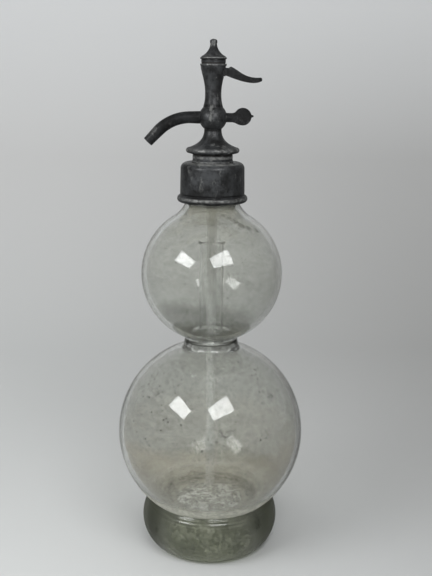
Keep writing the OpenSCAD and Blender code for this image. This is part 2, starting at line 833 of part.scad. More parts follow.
// Round nut on the rod's end, flat below where the lever's fork lifts it
module lift_nut() {
    slot = 0.9;
    slot_depth = 0.7;
    color(old_brass) difference() {
        ring(lift_nut_r, rod_tip_r, lift_nut_z, lift_nut_z + lift_nut_h);
        for (side = [-1, 1])
            translate([0, side * lift_nut_r, lift_nut_z + lift_nut_h])
                cube([slot, 2 * slot, 2 * slot_depth], center = true);
    }
}

// Coil of the spring: rings of six points round a helix, joined into one tube
spring_sides = 6;
spring_rings = 8;  // rings in one turn
coil_r = (spring_bore_r + rod_r) / 2;
wire_r = spring_wire / 2;
coil_low = spring_z + wire_r + 0.05;
coil_high = spring_top - wire_r - 0.05;
coil_steps = spring_turns * spring_rings;
function coil_angle(i) = i * 360 / spring_rings;
function coil_z(i) = coil_low + (coil_high - coil_low) * i / coil_steps;
function coil_point(i, k) =
    let (a = coil_angle(i), b = k * 360 / spring_sides, r = coil_r + wire_r * cos(b))
    [r * cos(a), r * sin(a), coil_z(i) + wire_r * sin(b)];
function coil_centre(i) = [coil_r * cos(coil_angle(i)), coil_r * sin(coil_angle(i)), coil_z(i)];

module valve_spring() {
    points = [
        for (i = [0:coil_steps]) for (k = [0:spring_sides - 1]) coil_point(i, k)
    ];
    sides = [
        for (i = [0:coil_steps - 1]) for (k = [0:spring_sides - 1])
            let (
                a = i * spring_sides + k, b = i * spring_sides + (k + 1) % spring_sides,
                c = a + spring_sides, d = b + spring_sides
            )
            each [[a, b, d], [a, d, c]]
    ];
    first = [for (k = [1:spring_sides - 2]) [0, k + 1, k]];
    last_ring = coil_steps * spring_sides;
    last = [for (k = [1:spring_sides - 2]) [last_ring, last_ring + k, last_ring + k + 1]];
    color(old_steel) polyhedron(points = points, faces = concat(sides, first, last));
    // least gap between one turn and the next, from the wire's centres
    turn_gaps = [
        for (i = [0:coil_steps - spring_rings])
            norm(coil_centre(i) - coil_centre(i + spring_rings)) - spring_wire
    ];
    echo(str("spring: least gap between turns ", min(turn_gaps), " mm"));
}

// ---------- Thumb lever ----------

// Side outline of the lever, from its pivot: nose over the rod, hub, hump and thumb pad
module lever_side() {
    tip_r = 1.6;
    tip = [lever_reach - tip_r, -5.9];
    translate([-lever_arm, 0]) circle(r = nose_r);
    circle(r = hub_r);
    polygon([
        [-lever_arm, nose_r], [-lever_arm, -nose_r], [0, -hub_r], [0, hub_r],
        [-2.2, 2.4], [lift_nut_r + 0.7 - lever_arm, nose_r]
    ]);
    polygon(backwards(concat(
        [[0, -hub_r], [0, hub_r], [4, hub_r], [5.2, 3.7]],
        curve([6, 3.9], [12.2, 1.4], [16.5, -5.2], tip + [-0.4, tip_r - 0.05], 14),
        curve(tip + [0.3, -tip_r + 0.05], [24, -10], [15, -8], [2.5, -3.2], 14)
    )));
    translate(tip) circle(r = tip_r);
}

// Plan of the lever: narrow in its slot, wider at the thumb pad
module lever_plan() {
    half_t = lever_t / 2;
    half_pad = lever_pad_w / 2;
    pad_x = lever_reach - half_pad;
    edge = concat(
        [[-lever_arm - 2, half_t], [5, half_t]],
        curve([8, half_t], [14, half_t], [pad_x - 8, half_pad], [pad_x, half_pad], 8)
    );
    polygon(concat([for (point = edge) [point[0], -point[1]]], backwards(edge)));
    translate([pad_x, 0]) circle(r = half_pad);
}

module thumb_lever() {
    fork_w = rod_tip_d + 2 * joint_gap;
    color(pewter) translate([lever_arm, 0, pivot_z]) difference() {
        intersection() {
            rotate([90, 0, 0]) linear_extrude(height = 2 * lever_pad_w, center = true) lever_side();
            translate([0, 0, -15]) linear_extrude(height = 30) lever_plan();
        }
        rotate([90, 0, 0]) cylinder(r = pin_d / 2 + running_gap, h = 3 * lever_t, center = true);
        // fork that straddles the rod
        translate([-lever_arm, 0, 0]) cube([6, fork_w, 10], center = true);
    }
}

lower_globe();
upper_globe();
glass_neck();
glass_foot();
standpipe();
collar();
neck_cement();
lip_gasket();
head_washer();
bell_flange();
valve_body();
spout();
finger_wing();
top_cap();
cap_washer();
lever_pin();
spring_bush();
rod_packing();
gland_nut();
valve_seat();
tube_sleeve();
tube_nut();
dip_tube();
valve_rod();
valve_washer();
washer_nut();
spring_collar();
lift_nut();
valve_spring();
thumb_lever();
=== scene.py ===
# %% [markdown]
# # A double-globe soda siphon
# The real object is two blown glass globes on a heavy olive glass foot, with a dark pewter head
# that is screwed into a cemented collar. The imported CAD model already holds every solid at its
# true place, so this lesson adds what the eye sees on top of it: glass that bends light, tarnished
# pewter, mineral film and dirt.
# The first step loads that model as a fixed frame. Every piece is placed in metres, with the
# foot's centre at the origin and +Z up. The outlines are written in millimetres.

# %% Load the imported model
import json
import math

import bpy
from mathutils import Matrix, Vector


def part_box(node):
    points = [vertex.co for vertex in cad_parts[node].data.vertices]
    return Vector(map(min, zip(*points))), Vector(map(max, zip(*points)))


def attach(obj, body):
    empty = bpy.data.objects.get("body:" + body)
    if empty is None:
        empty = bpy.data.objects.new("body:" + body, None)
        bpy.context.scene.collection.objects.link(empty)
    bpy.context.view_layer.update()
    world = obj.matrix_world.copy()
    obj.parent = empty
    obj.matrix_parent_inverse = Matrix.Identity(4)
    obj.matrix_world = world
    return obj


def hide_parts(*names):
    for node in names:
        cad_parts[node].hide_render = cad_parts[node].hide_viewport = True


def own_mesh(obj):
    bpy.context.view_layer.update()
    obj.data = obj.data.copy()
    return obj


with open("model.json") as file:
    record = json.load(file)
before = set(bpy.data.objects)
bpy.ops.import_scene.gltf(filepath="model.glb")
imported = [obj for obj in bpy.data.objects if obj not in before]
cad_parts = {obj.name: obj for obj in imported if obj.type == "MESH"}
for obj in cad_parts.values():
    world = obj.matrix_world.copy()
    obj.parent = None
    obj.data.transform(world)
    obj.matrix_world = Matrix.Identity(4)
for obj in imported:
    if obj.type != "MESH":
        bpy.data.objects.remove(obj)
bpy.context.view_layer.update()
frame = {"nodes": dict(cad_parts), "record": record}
scene = bpy.context.scene
scene.view_settings.view_transform = "Standard"

# %% [markdown]
# ## Camera
# The photograph was taken from a little above the collar, looking down at the whole siphon.
# A camera can be placed by eye, or worked out from the object's own sizes in the picture. The
# second way was used: a pitch of 13.6 degrees and a lens of 54.1 mm bring the rims, the ball and
# the foot to where they are in the picture. The siphon leans by half a degree there, which is
# taken up by rolling the camera.

# %% Camera
CAMERA_AT = (0.0038, -0.70626, 0.39958)
PITCH = math.radians(13.6)
ROLL = math.radians(0.59)
LENS, SENSOR = 54.1, 36  # both in mm

view = bpy.data.cameras.new("photo_camera")
view.lens = LENS
view.sensor_width = SENSOR
view.sensor_fit = "AUTO"
camera = bpy.data.objects.new("photo_camera", view)
scene.collection.objects.link(camera)
look = Matrix.Rotation(math.pi / 2 - PITCH, 4, "X") @ Matrix.Rotation(ROLL, 4, "Z")
camera.matrix_world = Matrix.Translation(CAMERA_AT) @ look
scene.camera = camera
print("camera:", LENS, "mm lens at", CAMERA_AT)

# %% [markdown]
# ## Node kit
# A procedural material is a small program. Wiring it by hand takes many lines, so one class
# wraps an output socket: `a + b`, `1 - a` or `a * b` then adds the Math node that does it.

# %% Node kit
class Signal:
    """A number that changes over the surface, written like any other number."""

    def __init__(self, finish, socket):
        self.finish, self.socket = finish, socket

    def math(self, operation, *others, swap=False):
        values = [self, *others]
        if swap:
            values.reverse()
        return self.finish.node("ShaderNodeMath", values, operation=operation)

    def __add__(self, other):
        return self.math("ADD", other)

    def __sub__(self, other):
        return self.math("SUBTRACT", other)

    def __mul__(self, other):
        return self.math("MULTIPLY", other)

    def __truediv__(self, other):
        return self.math("DIVIDE", other)

    def __radd__(self, other):
        return self.math("ADD", other)

    def __rsub__(self, other):
        return self.math("SUBTRACT", other, swap=True)

    def __rmul__(self, other):
        return self.math("MULTIPLY", other)

    def above(self, low, high):
        """0 below low, 1 above high, and smooth between them."""
        return self.finish.node(
            "ShaderNodeMapRange", {"Value": self, "From Min": low, "From Max": high},
            interpolation_type="SMOOTHSTEP", clamp=True,
        )

    def most(self, other):
        """The larger of the two."""
        return self.math("MAXIMUM", other)

    def size(self):
        """The number without its sign."""
        return self.math("ABSOLUTE")

# %% [markdown]
# ## Finish kit
# A finish is a material under construction. `node` adds any node from its type, its settings and
# its inputs, and the other methods add the few that dirt, glass and metal need again and again.
# Patterns read a point's place on the object, not in the room, so a pattern stays on its piece
# when the piece moves.

# %% Finish kit
class Finish:
    """A material under construction."""

    def __init__(self, name):
        self.material = bpy.data.materials.new(name)
        self.material.use_nodes = True
        self.tree = self.material.node_tree
        self.tree.nodes.clear()
        self.place = None

    def node(self, kind, inputs=(), output=0, stops=None, **settings):
        made = self.tree.nodes.new(kind)
        for key, value in settings.items():
            setattr(made, key, value)
        if stops:
            ramp = made.color_ramp
            while len(ramp.elements) < len(stops):
                ramp.elements.new(0.5)
            for element, (position, colour) in zip(ramp.elements, stops):
                element.position, element.color = position, (*colour, 1)
        pairs = inputs.items() if isinstance(inputs, dict) else enumerate(inputs)
        for key, value in pairs:
            self.feed(made.inputs[key], value)
        return Signal(self, made.outputs[output]) if len(made.outputs) else made

    def feed(self, socket, value):
        if isinstance(value, Signal):
            self.tree.links.new(value.socket, socket)
        elif isinstance(value, tuple) and len(value) == 3 and len(socket.default_value) == 4:
            socket.default_value = (*value, 1)
        else:
            socket.default_value = value

    def at(self):
        """The place on the object, in metres."""
        if self.place is None:
            self.place = self.node("ShaderNodeTexCoord", output="Object")
        return self.place

    def moved(self, stretch=(1, 1, 1), turn=(0, 0, 0)):
        """The place, stretched or turned."""
        return self.node(
            "ShaderNodeMapping", {"Vector": self.at(), "Scale": stretch, "Rotation": turn}
        )

    def axis(self, name):
        return self.node("ShaderNodeSeparateXYZ", [self.at()], output=name)

    def noise(self, scale, detail=3.0, rough=0.5, place=None, warp=0.0):
        return self.node(
            "ShaderNodeTexNoise",
            {"Vector": place or self.at(), "Scale": scale, "Detail": detail,
             "Roughness": rough, "Distortion": warp},
        )

    def cells(self, scale):
        return self.node("ShaderNodeTexVoronoi", {"Vector": self.at(), "Scale": scale})

    def spot(self, centre, radius, soft=0.5):
        """1 within a ball about a point of the object, fading to 0 at its edge."""
        away = self.node(
            "ShaderNodeVectorMath", [self.at(), centre], output="Value", operation="DISTANCE"
        )
        return 1 - away.above(radius * (1 - soft), radius)

    def blend(self, amount, first, second):
        """The first colour where amount is 0, and the second where it is 1."""
        mix = self.node("ShaderNodeMix", data_type="RGBA", output=2)
        for index, value in ((0, amount), (6, first), (7, second)):
            self.feed(mix.socket.node.inputs[index], value)
        return mix

    def bump(self, height, depth, strength=1.0):
        return self.node(
            "ShaderNodeBump", {"Height": height, "Distance": depth, "Strength": strength}
        )

    def principled(self, **inputs):
        named = {key.replace("_", " "): value for key, value in inputs.items()}
        return self.node("ShaderNodeBsdfPrincipled", named)

    def close(self, surface, volume=None):
        values = {"Surface": surface}
        if volume:
            values["Volume"] = volume
        self.node("ShaderNodeOutputMaterial", values)
        return self.material

# %% [markdown]
# ## Light
# The photograph was lit by windows: each globe shows two bright four-sided reflections. So two
# rectangular area lamps stand where the reflections in both globes say the windows are. A third,
# large lamp on the left gives the forms their light side. It is hidden from reflections, because
# the glass shows no third window. A weak, even world light fills the shadows.

# %% Lamps
DAYLIGHT = (0.98, 0.99, 1.0)
MIDDLE = Vector((0, 0, 0.22))  # of the siphon, which the lamps shine towards


def window(name, centre, across, down, power):
    """A rectangular lamp that spans two directions, given as full-length vectors."""
    x_axis = Vector(across).normalized()
    down = Vector(down)
    y_axis = (down - x_axis * down.dot(x_axis)).normalized()
    z_axis = x_axis.cross(y_axis)
    if z_axis.dot(Vector(centre) - MIDDLE) < 0:
        y_axis, z_axis = -y_axis, -z_axis
    lamp = bpy.data.lights.new(name, "AREA")
    lamp.shape = "RECTANGLE"
    lamp.size, lamp.size_y = Vector(across).length, down.length
    lamp.energy = power
    lamp.color = DAYLIGHT
    made = bpy.data.objects.new(name, lamp)
    scene.collection.objects.link(made)
    turn = Matrix((x_axis, y_axis, z_axis)).transposed()
    made.matrix_world = Matrix.Translation(centre) @ turn.to_4x4()
    return made


side = window("soft_left", (-1.25, -0.35, 0.85), (0.4, -1.0, 0), (0, 0, -1.2), 5.0)
side.visible_glossy = False
side.visible_transmission = False
window("left_window", (-0.37, -0.355, 0.5075), (0.10, -0.27, -0.03), (-0.12, -0.03, -0.105), 1.6)
window(
    "right_window", (0.109, -0.439, 0.541), (-0.2175, -0.2625, 0.0275),
    (0.1075, -0.0425, -0.1575), 2.0,
)
world = bpy.data.worlds.new("room")
world.use_nodes = True
sky = world.node_tree.nodes["Background"]
sky.inputs["Color"].default_value = (*DAYLIGHT, 1)
sky.inputs["Strength"].default_value = 0.5
scene.world = world

# %% [markdown]
# ## Backdrop
# The siphon stands on a seamless sweep of paper. It is one profile, extruded sideways: level
# under the foot, then curving up behind. Its colour is a soft gradient of painted shade: lighter
# on the left and up the wall, darker on the right and low on the sweep.

# %% Backdrop
PAPER_FRONT, PAPER_TOP, PAPER_W = -1.6, 2.2, 4.4
SWEEP_START, SWEEP_R = 0.55, 0.75


def chain(points):
    """Draws a line of edges through the points and leaves it selected in edit mode."""
    bpy.ops.object.select_all(action="DESELECT")
    bpy.ops.mesh.primitive_plane_add(size=0.001, location=(0, 0, 0))
    bpy.ops.object.mode_set(mode="EDIT")
    bpy.ops.mesh.select_all(action="SELECT")
    bpy.ops.mesh.merge(type="CENTER")
    bpy.ops.transform.translate(value=points[0])
    for before, after in zip(points, points[1:]):
        step = Vector(after) - Vector(before)
        bpy.ops.mesh.extrude_vertices_move(TRANSFORM_OT_translate={"value": step})
    bpy.ops.mesh.select_all(action="SELECT")


def arc(centre, radius, first, last, count):
    """Points of an arc in an outline, from one angle to another, in degrees."""
    angles = [math.radians(first + (last - first) * i / count) for i in range(count + 1)]
    return [(centre[0] + radius * math.cos(a), centre[1] + radius * math.sin(a)) for a in angles]


def give(obj, finish):
    """Replaces an object's materials by one finish."""
    obj.data.materials.clear()
    obj.data.materials.append(finish)


profile = [(PAPER_FRONT, 0)] + arc((SWEEP_START, SWEEP_R), SWEEP_R, -90, 0, 40)
profile.append((SWEEP_START + SWEEP_R, PAPER_TOP))
chain([(-PAPER_W / 2, y, z) for y, z in profile])
bpy.ops.mesh.extrude_region_move(TRANSFORM_OT_translate={"value": (PAPER_W, 0, 0)})
bpy.ops.object.mode_set(mode="OBJECT")
backdrop = bpy.context.object
backdrop.name = "backdrop"
bpy.ops.object.shade_smooth()

paper = Finish("paper")
# Painted shade: the right half of the paper and the low part of the sweep are darker.
right = paper.axis("X").above(-0.45, 0.6)
along = (paper.axis("Y") + paper.axis("Z") + 0.2) / 2.2
lit_left_ramp = paper.node("ShaderNodeValToRGB", [along], stops=[
    (0.0, (0.56, 0.57, 0.56)), (0.14, (0.62, 0.63, 0.62)), (0.35, (0.74, 0.75, 0.74)),
    (0.7, (0.82, 0.82, 0.81)), (0.92, (0.99, 1.0, 1.0)),
])
shaded_right_ramp = paper.node("ShaderNodeValToRGB", [along], stops=[
    (0.0, (0.52, 0.53, 0.53)), (0.14, (0.46, 0.46, 0.455)), (0.35, (0.48, 0.48, 0.47)),
    (0.7, (0.64, 0.64, 0.63)), (0.92, (0.98, 0.99, 0.99)),
])
give(backdrop, paper.close(paper.principled(
    Base_Color=paper.blend(right, lit_left_ramp, shaded_right_ramp), Roughness=0.9, Specular_IOR_Level=0.1,
)))
print("backdrop faces:", len(backdrop.data.polygons))

# %% [markdown]
# ## Outline tools
# Half of a lengthwise cut through glass is a line of arcs. One helper gives an arc between two
# heights. The other softens a corner, as corners are in glass that was once molten.

# %% Outline tools
def between(centre, radius, low, high, count):
    """Points of an arc to the right of its centre, from one height to another."""
    first, last = (math.degrees(math.asin((z - centre[1]) / radius)) for z in (low, high))
    return arc(centre, radius, first, last, count)


def soften(points, corner, reach, count=8):
    """Rounds the outline where it passes nearest to a corner, over a distance to each side."""
    at = min(range(len(points)), key=lambda i: math.dist(points[i], corner))
    first, last = at, at
    while first > 1 and math.dist(points[first], points[at]) < reach:
        first -= 1
    while last < len(points) - 2 and math.dist(points[last], points[at]) < reach:
        last += 1
    bend = []
    for i in range(count + 1):
        t = i / count
        s = 1 - t
        weights = (s * s, 2 * s * t, t * t)
        ends = (points[first], points[at], points[last])
        bend.append(tuple(sum(w * p[axis] for w, p in zip(weights, ends)) for axis in (0, 1)))
    return points[:first] + bend + points[last + 1:]

# %% [markdown]
# ## Outline of the blown glass
# Lower globe, upper globe and neck are one skin of glass, so light never meets a surface between
# them. A renderer only gets that right if the shape is one closed skin too. The outline goes up
# the outside, over the lip and down the inside.

# %% Bottle outline
LOWER, LOWER_R = (0, 102.9), 79.1  # each arc by its centre and its radius, in mm
UPPER, UPPER_R = (1.7, 241.3), 56.8
DOME, DOME_R = (0, -25.8), 67.8  # the push-up in the bottom
WAIST, WAIST_R = (24.97, 186.24), 3  # the bend between the globes
NECK, NECK_R = (45.57, 311.49), 26.02  # the sweep from the upper globe into the neck
THROAT, THROAT_R = (45.57, 311.96), 30.2  # the same sweep on the inside
WALL = 3.8
LOWER_IN, UPPER_IN = LOWER_R - WALL, UPPER_R - WALL
DOME_TOP, DOME_UNDER = 42.0, 38.2

outside = [
    *between(DOME, DOME_R - WALL, DOME_UNDER, 30.2, 24),
    *between(LOWER, LOWER_R, 30.4, 178.88, 110),
    *arc(WAIST, WAIST_R, 180, 112.9, 8),
    *between(UPPER, UPPER_R, 190.4, 289.47, 76)[1:],
    *arc(NECK, NECK_R, 236, 180, 16),
]
lip = [
    (19.55, 318), (19.55, 325.2), (18.9, 326.3), (18.2, 326.55),
    (16.4, 326.55), (15.7, 326.2), (15.4, 325.4), (15.4, 319),
]
inside = [
    *arc(THROAT, THROAT_R, 180, 238, 18),
    *between(UPPER, UPPER_IN, 286.2, 190.74, 80),
    (17.65, 187), (17.65, 182.95), (15.5, 182.9), (15.5, 180),  # the seat of the standpipe
    *between(LOWER, LOWER_IN, 176.59, 34.38, 96),
    *between(DOME, DOME_R, 34.7, DOME_TOP, 24),
]
CORNERS = (  # where the outline turns, and how far its rounding reaches
    ((31, 30.2), 3), ((22, 178.9), 3), ((17.6, 190.7), 3), ((15.5, 176.6), 4), ((31.2, 34.4), 7),
)
outline = outside + lip + inside
for corner, reach in CORNERS:
    outline = soften(outline, corner, reach)
outline[0], outline[-1] = (0, DOME_UNDER), (0, DOME_TOP)
print("bottle outline points:", len(outline))

# %% [markdown]
# ## Outline of the foot
# The foot is a second lump of glass under the globe, with a seam so thin that light just sees it.
# It could be a plain ring, but hot glass that was pressed on has faint wrinkles in its shoulder,
# which break up the light, so a small wave is added there.

# %% Foot outline
HEEL, HEEL_R = (40.83, 14.35), 14.7
SHOULDER, SHOULDER_R = (28.8, 23.8), 30
SEAM = 0.12  # gap at the joint of foot and globe

foot_shoulder = []
for i, (r, z) in enumerate(arc(SHOULDER, SHOULDER_R, 22, 40, 36)):
    wrinkle = 0.1 * math.sin(i * math.pi / 6) * math.sin(i * math.pi / 36)
    foot_shoulder.append((r + wrinkle, z + wrinkle * 0.6))
foot_outline = [
    (32, 27.8), (32.6, 22), (33.6, 12), (34.5, 4), (34.9, 0.6), (35.4, 0), (44.02, 0),
    *arc(HEEL, HEEL_R, -76, -38.1, 14), *arc(SHOULDER, SHOULDER_R, -36, 20, 24), *foot_shoulder,
    *between(LOWER, LOWER_R + SEAM, 43.0, 30.7, 14),
]
foot_outline.append(foot_outline[0])
print("foot outline points:", len(foot_outline))

# %% [markdown]
# ## Spin the glass
# A glassblower turns the pipe all the time, which is why the globes are round. Here the outline
# is turned once about the axis. The seam is merged and the normals are made to face outwards,
# since refraction depends on them.

# %% Spin
def lathe(name, points, steps):
    """Turns an outline in millimetres about the Z axis."""
    chain([(r / 1000, 0, z / 1000) for r, z in points])
    bpy.ops.mesh.spin(
        steps=steps, angle=2 * math.pi, center=(0, 0, 0), axis=(0, 0, 1), use_auto_merge=True
    )
    bpy.ops.mesh.select_all(action="SELECT")
    bpy.ops.mesh.remove_doubles(threshold=0.000004)
    bpy.ops.mesh.select_all(action="SELECT")
    bpy.ops.mesh.normals_make_consistent(inside=False)
    bpy.ops.object.mode_set(mode="OBJECT")
    made = bpy.context.object
    made.name = made.data.name = name
    bpy.ops.object.shade_smooth()
    return made


glass = lathe("blown_glass", outline, 192)
foot = lathe("pressed_foot", foot_outline, 160)
print("faces:", len(glass.data.polygons), len(foot.data.polygons))

# %% [markdown]
# ## Glass materials
# The globes are nearly colourless, the foot is made of thicker, greener glass. Both let light
# pass in shadows, because a renderer doesn't focus light through glass by itself. A slow ripple
# in the surface is what makes blown glass look blown: it bends the window reflections. The thin
# tube inside is coated with chalk, so it is a pale skin that one looks through.

# %% Glass
def glassy(name, tint, shade, ripple, rough=0.0, volume=None, skin=0.0):
    """Clear glass with a slow ripple, its own tint and the shade that it throws."""
    finish = Finish(name)
    wave = finish.noise(11, 1, place=finish.moved(stretch=(1, 1, 0.5)))
    fine = finish.noise(60, 1)
    normal = finish.bump(wave + fine * 0.04, ripple)
    body = finish.principled(
        Base_Color=tint, Roughness=rough, IOR=1.5, Transmission_Weight=1.0, Normal=normal,
        Coat_Weight=skin, Coat_Roughness=0.02,
    )
    clear = finish.node("ShaderNodeBsdfTransparent", {"Color": shade})
    shadow = finish.node("ShaderNodeLightPath", output="Is Shadow Ray")
    if volume:
        colour, density = volume
        volume = finish.node("ShaderNodeVolumeAbsorption", {"Color": colour, "Density": density})
    return finish.close(finish.node("ShaderNodeMixShader", [shadow, body, clear]), volume)


clear_glass = glassy("clear_glass", (0.94, 0.95, 0.93), (0.90, 0.91, 0.90), 0.0015, 0.015)
foot_glass = glassy(
    "foot_glass", (0.92, 0.93, 0.88), (0.60, 0.62, 0.55), 0.001, 0.28,
    volume=((0.50, 0.53, 0.38), 34), skin=1.0,
)
tube_glass = glassy("tube_glass", (0.97, 0.975, 0.97), (0.95, 0.95, 0.95), 0.0002)
frost = Finish("frosted_tube")
chalk = frost.noise(300, 3, 0.6, place=frost.moved(stretch=(1, 1, 0.3)))
high = frost.axis("Z").above(0.19, 0.27)
frosted_tube = frost.close(frost.principled(
    Base_Color=frost.blend(high, (0.92, 0.93, 0.90), (0.14, 0.14, 0.115)), Roughness=0.35,
    Alpha=0.18 + chalk.above(0.4, 0.7) * 0.10,
))
give(glass, clear_glass)
give(foot, foot_glass)
for piece, slot in ((glass, "clear_glass"), (foot, "foot_glass")):
    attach(piece, "bottle")
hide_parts(*[n for n in frame["nodes"] if n in ("lower_globe", "upper_globe", "glass_neck")])
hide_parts("glass_foot")
give(frame["nodes"]["standpipe"], tube_glass)
give(frame["nodes"]["dip_tube"], frosted_tube)
print("glass:", [m.name for m in (clear_glass, foot_glass, tube_glass, frosted_tube)])

# %% [markdown]
# ## Film kit
# Years of mineral water and dust left films on the glass. Each film is a skin that lies just off
# the wall. Its alpha, not its colour, says how much of it there is, so the glass stays glass where
# it is clean. The helpers give a film its grain, its specks, and marks at chosen places of a wall.

# %% Film kit
OUT_GAP, IN_GAP = 0.15, 0.25  # of a film from the wall, outside and inside, in mm
OLD_DIRT = (0.10, 0.102, 0.080)


def film(name, points, colour, alpha, finish):
    """A dull skin, turned from an outline, that rides with the bottle."""
    skin = lathe(name, points, 128)
    give(skin, finish.close(finish.principled(
        Base_Color=colour, Roughness=0.7, Specular_IOR_Level=0.2, Alpha=alpha,
    )))
    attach(skin, "bottle")
    print(name, "faces:", len(skin.data.polygons))
    return skin


def specks(finish, scale, size, region):
    """Small round specks, only where region is 1."""
    return (1 - finish.cells(scale).above(size * 0.6, size)) * region


def tint(finish, dark, light):
    """Colour of dirt: grains between a dark and a light tone, in patches."""
    grain = finish.noise(300, 4, 0.75).above(0.42, 0.6)
    patch = finish.noise(110, 4, 0.7, warp=0.8).above(0.38, 0.62)
    return finish.blend(grain * 0.6 + patch * 0.4, dark, light)


def soil(finish, amount):
    """Alpha of the dirt that lies everywhere: blotches, grain and faint level rings."""
    blotch = finish.noise(130, 4, 0.7, warp=0.5).above(0.4, 0.66)
    grain = finish.noise(430, 3, 0.7).above(0.45, 0.72)
    ring = finish.noise(150, 3, 0.6, place=finish.moved(stretch=(0.25, 0.25, 4))).above(0.5, 0.7)
    return (0.62 + blotch * 0.24 + grain * 0.24 + ring * 0.22) * amount


def on_wall(globe, radius, angle, height):
    """A point of a globe's wall, from its angle off the front and its height in millimetres."""
    away = globe[0] + math.sqrt(radius ** 2 - (height - globe[1]) ** 2)
    turn = math.radians(angle)
    return (away * math.sin(turn) / 1000, -away * math.cos(turn) / 1000, height / 1000)


def marks(finish, globe, radius, places):
    """1 at small marks on a wall, each given as an angle, a height and a size in millimetres."""
    total = 0
    for angle, height, size in places:
        mark = finish.spot(on_wall(globe, radius, angle, height), size / 1000)
        total = mark if total == 0 else mark.most(total)
    return total

# %% [markdown]
# ## Dirt and painted shade on the outside
# The outside is dull all over, and more so in the waist, in the pale hem where the globe meets
# the foot, and in the nape under the collar, where a cloth doesn't reach. The waist and the nape
# are also darkened with painted shade, which falls in the crevice and under the collar. Each of
# these is a mask over the height. A black spot of painted shade sits at each end of the waist.

# %% Outer dust
outer = Finish("outer_dust_and_shade")
height = outer.axis("Z")
# The waist is dirt and painted shade in the crevice between the globes.
waist = height.above(0.1790, 0.1820) * (1 - height.above(0.1845, 0.1870))
hem = height.above(0.038, 0.044) * (1 - height.above(0.050, 0.070))
# The nape is stain and painted shade under the collar.
nape = height.above(0.284, 0.299)
# Painted shade: a black spot at each end of the waist crevice.
black = outer.spot((-0.0195, -0.0105, 0.1835), 0.0036)
black = black.most(outer.spot((0.0205, -0.0085, 0.1835), 0.0042))
smear = outer.noise(150, 4, 0.7, warp=1).above(0.4, 0.65)
tone = tint(outer, (0.105, 0.106, 0.080), (0.43, 0.43, 0.375))
tone = outer.blend(waist, tone, (0.10, 0.102, 0.088))
tone = outer.blend(hem, tone, (0.78, 0.77, 0.68))
tone = outer.blend(nape, tone, (0.20, 0.195, 0.155))
cover = soil(outer, 0.21).most(waist * (0.40 + smear * 0.35)).most(hem * (0.5 + smear * 0.25))
cover = cover.most(nape * (0.2 + smear * 0.2))
film(
    "outer_dust_and_shade",
    between(LOWER, LOWER_R + OUT_GAP, 43.4, 178.6, 90)
    + arc(WAIST, WAIST_R - OUT_GAP, 186, 114, 8)
    + between(UPPER, UPPER_R + OUT_GAP, 190.3, 289.3, 70)
    + arc(NECK, NECK_R - OUT_GAP, 236, 205, 12),
    outer.blend(black, tone, (0.02, 0.02, 0.018)), cover.most(black * 0.85), outer,
)

# %% [markdown]
# ## Residue in the lower globe
# Water stood in this globe. It left a beige tide up to a slanting line, a pale sediment in the
# bottom, and dark specks and flakes. A dark ring round the push-up, on its far side, is painted
# shade. The tide's edge is a height that noise bends, because such a line is never level or sharp.

# %% Lower residue
low = Finish("lower_residue")
height = low.axis("Z")
cloud = low.noise(24, 4, 0.6, warp=0.6)
edge = height + (cloud - 0.5) * 0.03 + low.axis("X") * 0.06
below = 1 - edge.above(0.100, 0.114)
line = below * edge.above(0.099, 0.108)
front = 0.3 + low.axis("Y").above(0.035, -0.015) * 0.7
streak = low.noise(70, 4, 0.7, place=low.moved(stretch=(1, 1, 9)), warp=0.5).above(0.42, 0.58)
# Painted shade: a dark ring round the push-up, on the far side of the bottom.
ring = height.above(0.0365, 0.0375) * (1 - height.above(0.0395, 0.042))
ring = ring * low.axis("Y").above(-0.02, 0.01)
bottom = 1 - height.above(0.044, 0.058)
dots = specks(low, 170, 0.18, low.noise(14, 1).above(0.45, 0.55))
dots = dots.most(marks(low, LOWER, LOWER_IN, (
    (-4.5, 114.5, 1.5), (4.5, 121.5, 1.2), (54, 146, 1.3), (50, 146.5, 1), (33, 119, 1.2),
    (-61, 152, 1.2),
)))
flakes = marks(low, LOWER, LOWER_IN, (
    (6.5, 128, 4.5), (10.5, 126.5, 4.5), (14.5, 127.5, 4.5), (37, 122, 5), (-47, 150, 5),
    (52, 147, 5),
))
dots = dots.most(flakes * low.noise(420, 2, 0.6, warp=2.5).above(0.50, 0.55) * 0.85)
tone = low.blend(below, tint(low, OLD_DIRT, (0.30, 0.302, 0.262)), (0.30, 0.255, 0.175))
tone = low.blend(line * low.axis("Y").above(0.0, -0.05), tone, (0.20, 0.165, 0.115))
tone = low.blend(bottom, tone, (0.56, 0.555, 0.49))
tone = low.blend(ring * (0.4 + streak * 0.6), tone, (0.07, 0.074, 0.058))
residue = soil(low, 0.25) + (below * (0.17 + cloud.above(0.3, 0.7) * 0.15) + line * 0.12) * front
residue = residue.most(bottom * (0.36 + streak * 0.3)).most(ring * (0.3 + streak * 0.55))
film(
    "lower_residue",
    between(LOWER, LOWER_IN - IN_GAP, 176.0, 36.5, 80)
    + between(DOME, DOME_R + IN_GAP, 36.5, 42.25, 20),
    low.blend(dots, tone, (0.03, 0.03, 0.025)), residue.most(dots * 0.9), low,
)

# %% [markdown]
# ## Residue in the upper globe
# A smoky stain lies in the bottom of this globe, on a slant. A dull film hangs under its shoulder,
# with a dark curl on the right and a stain on the left. The curl is a row of round marks that a
# swirling noise breaks up, so that it doesn't look like a row.

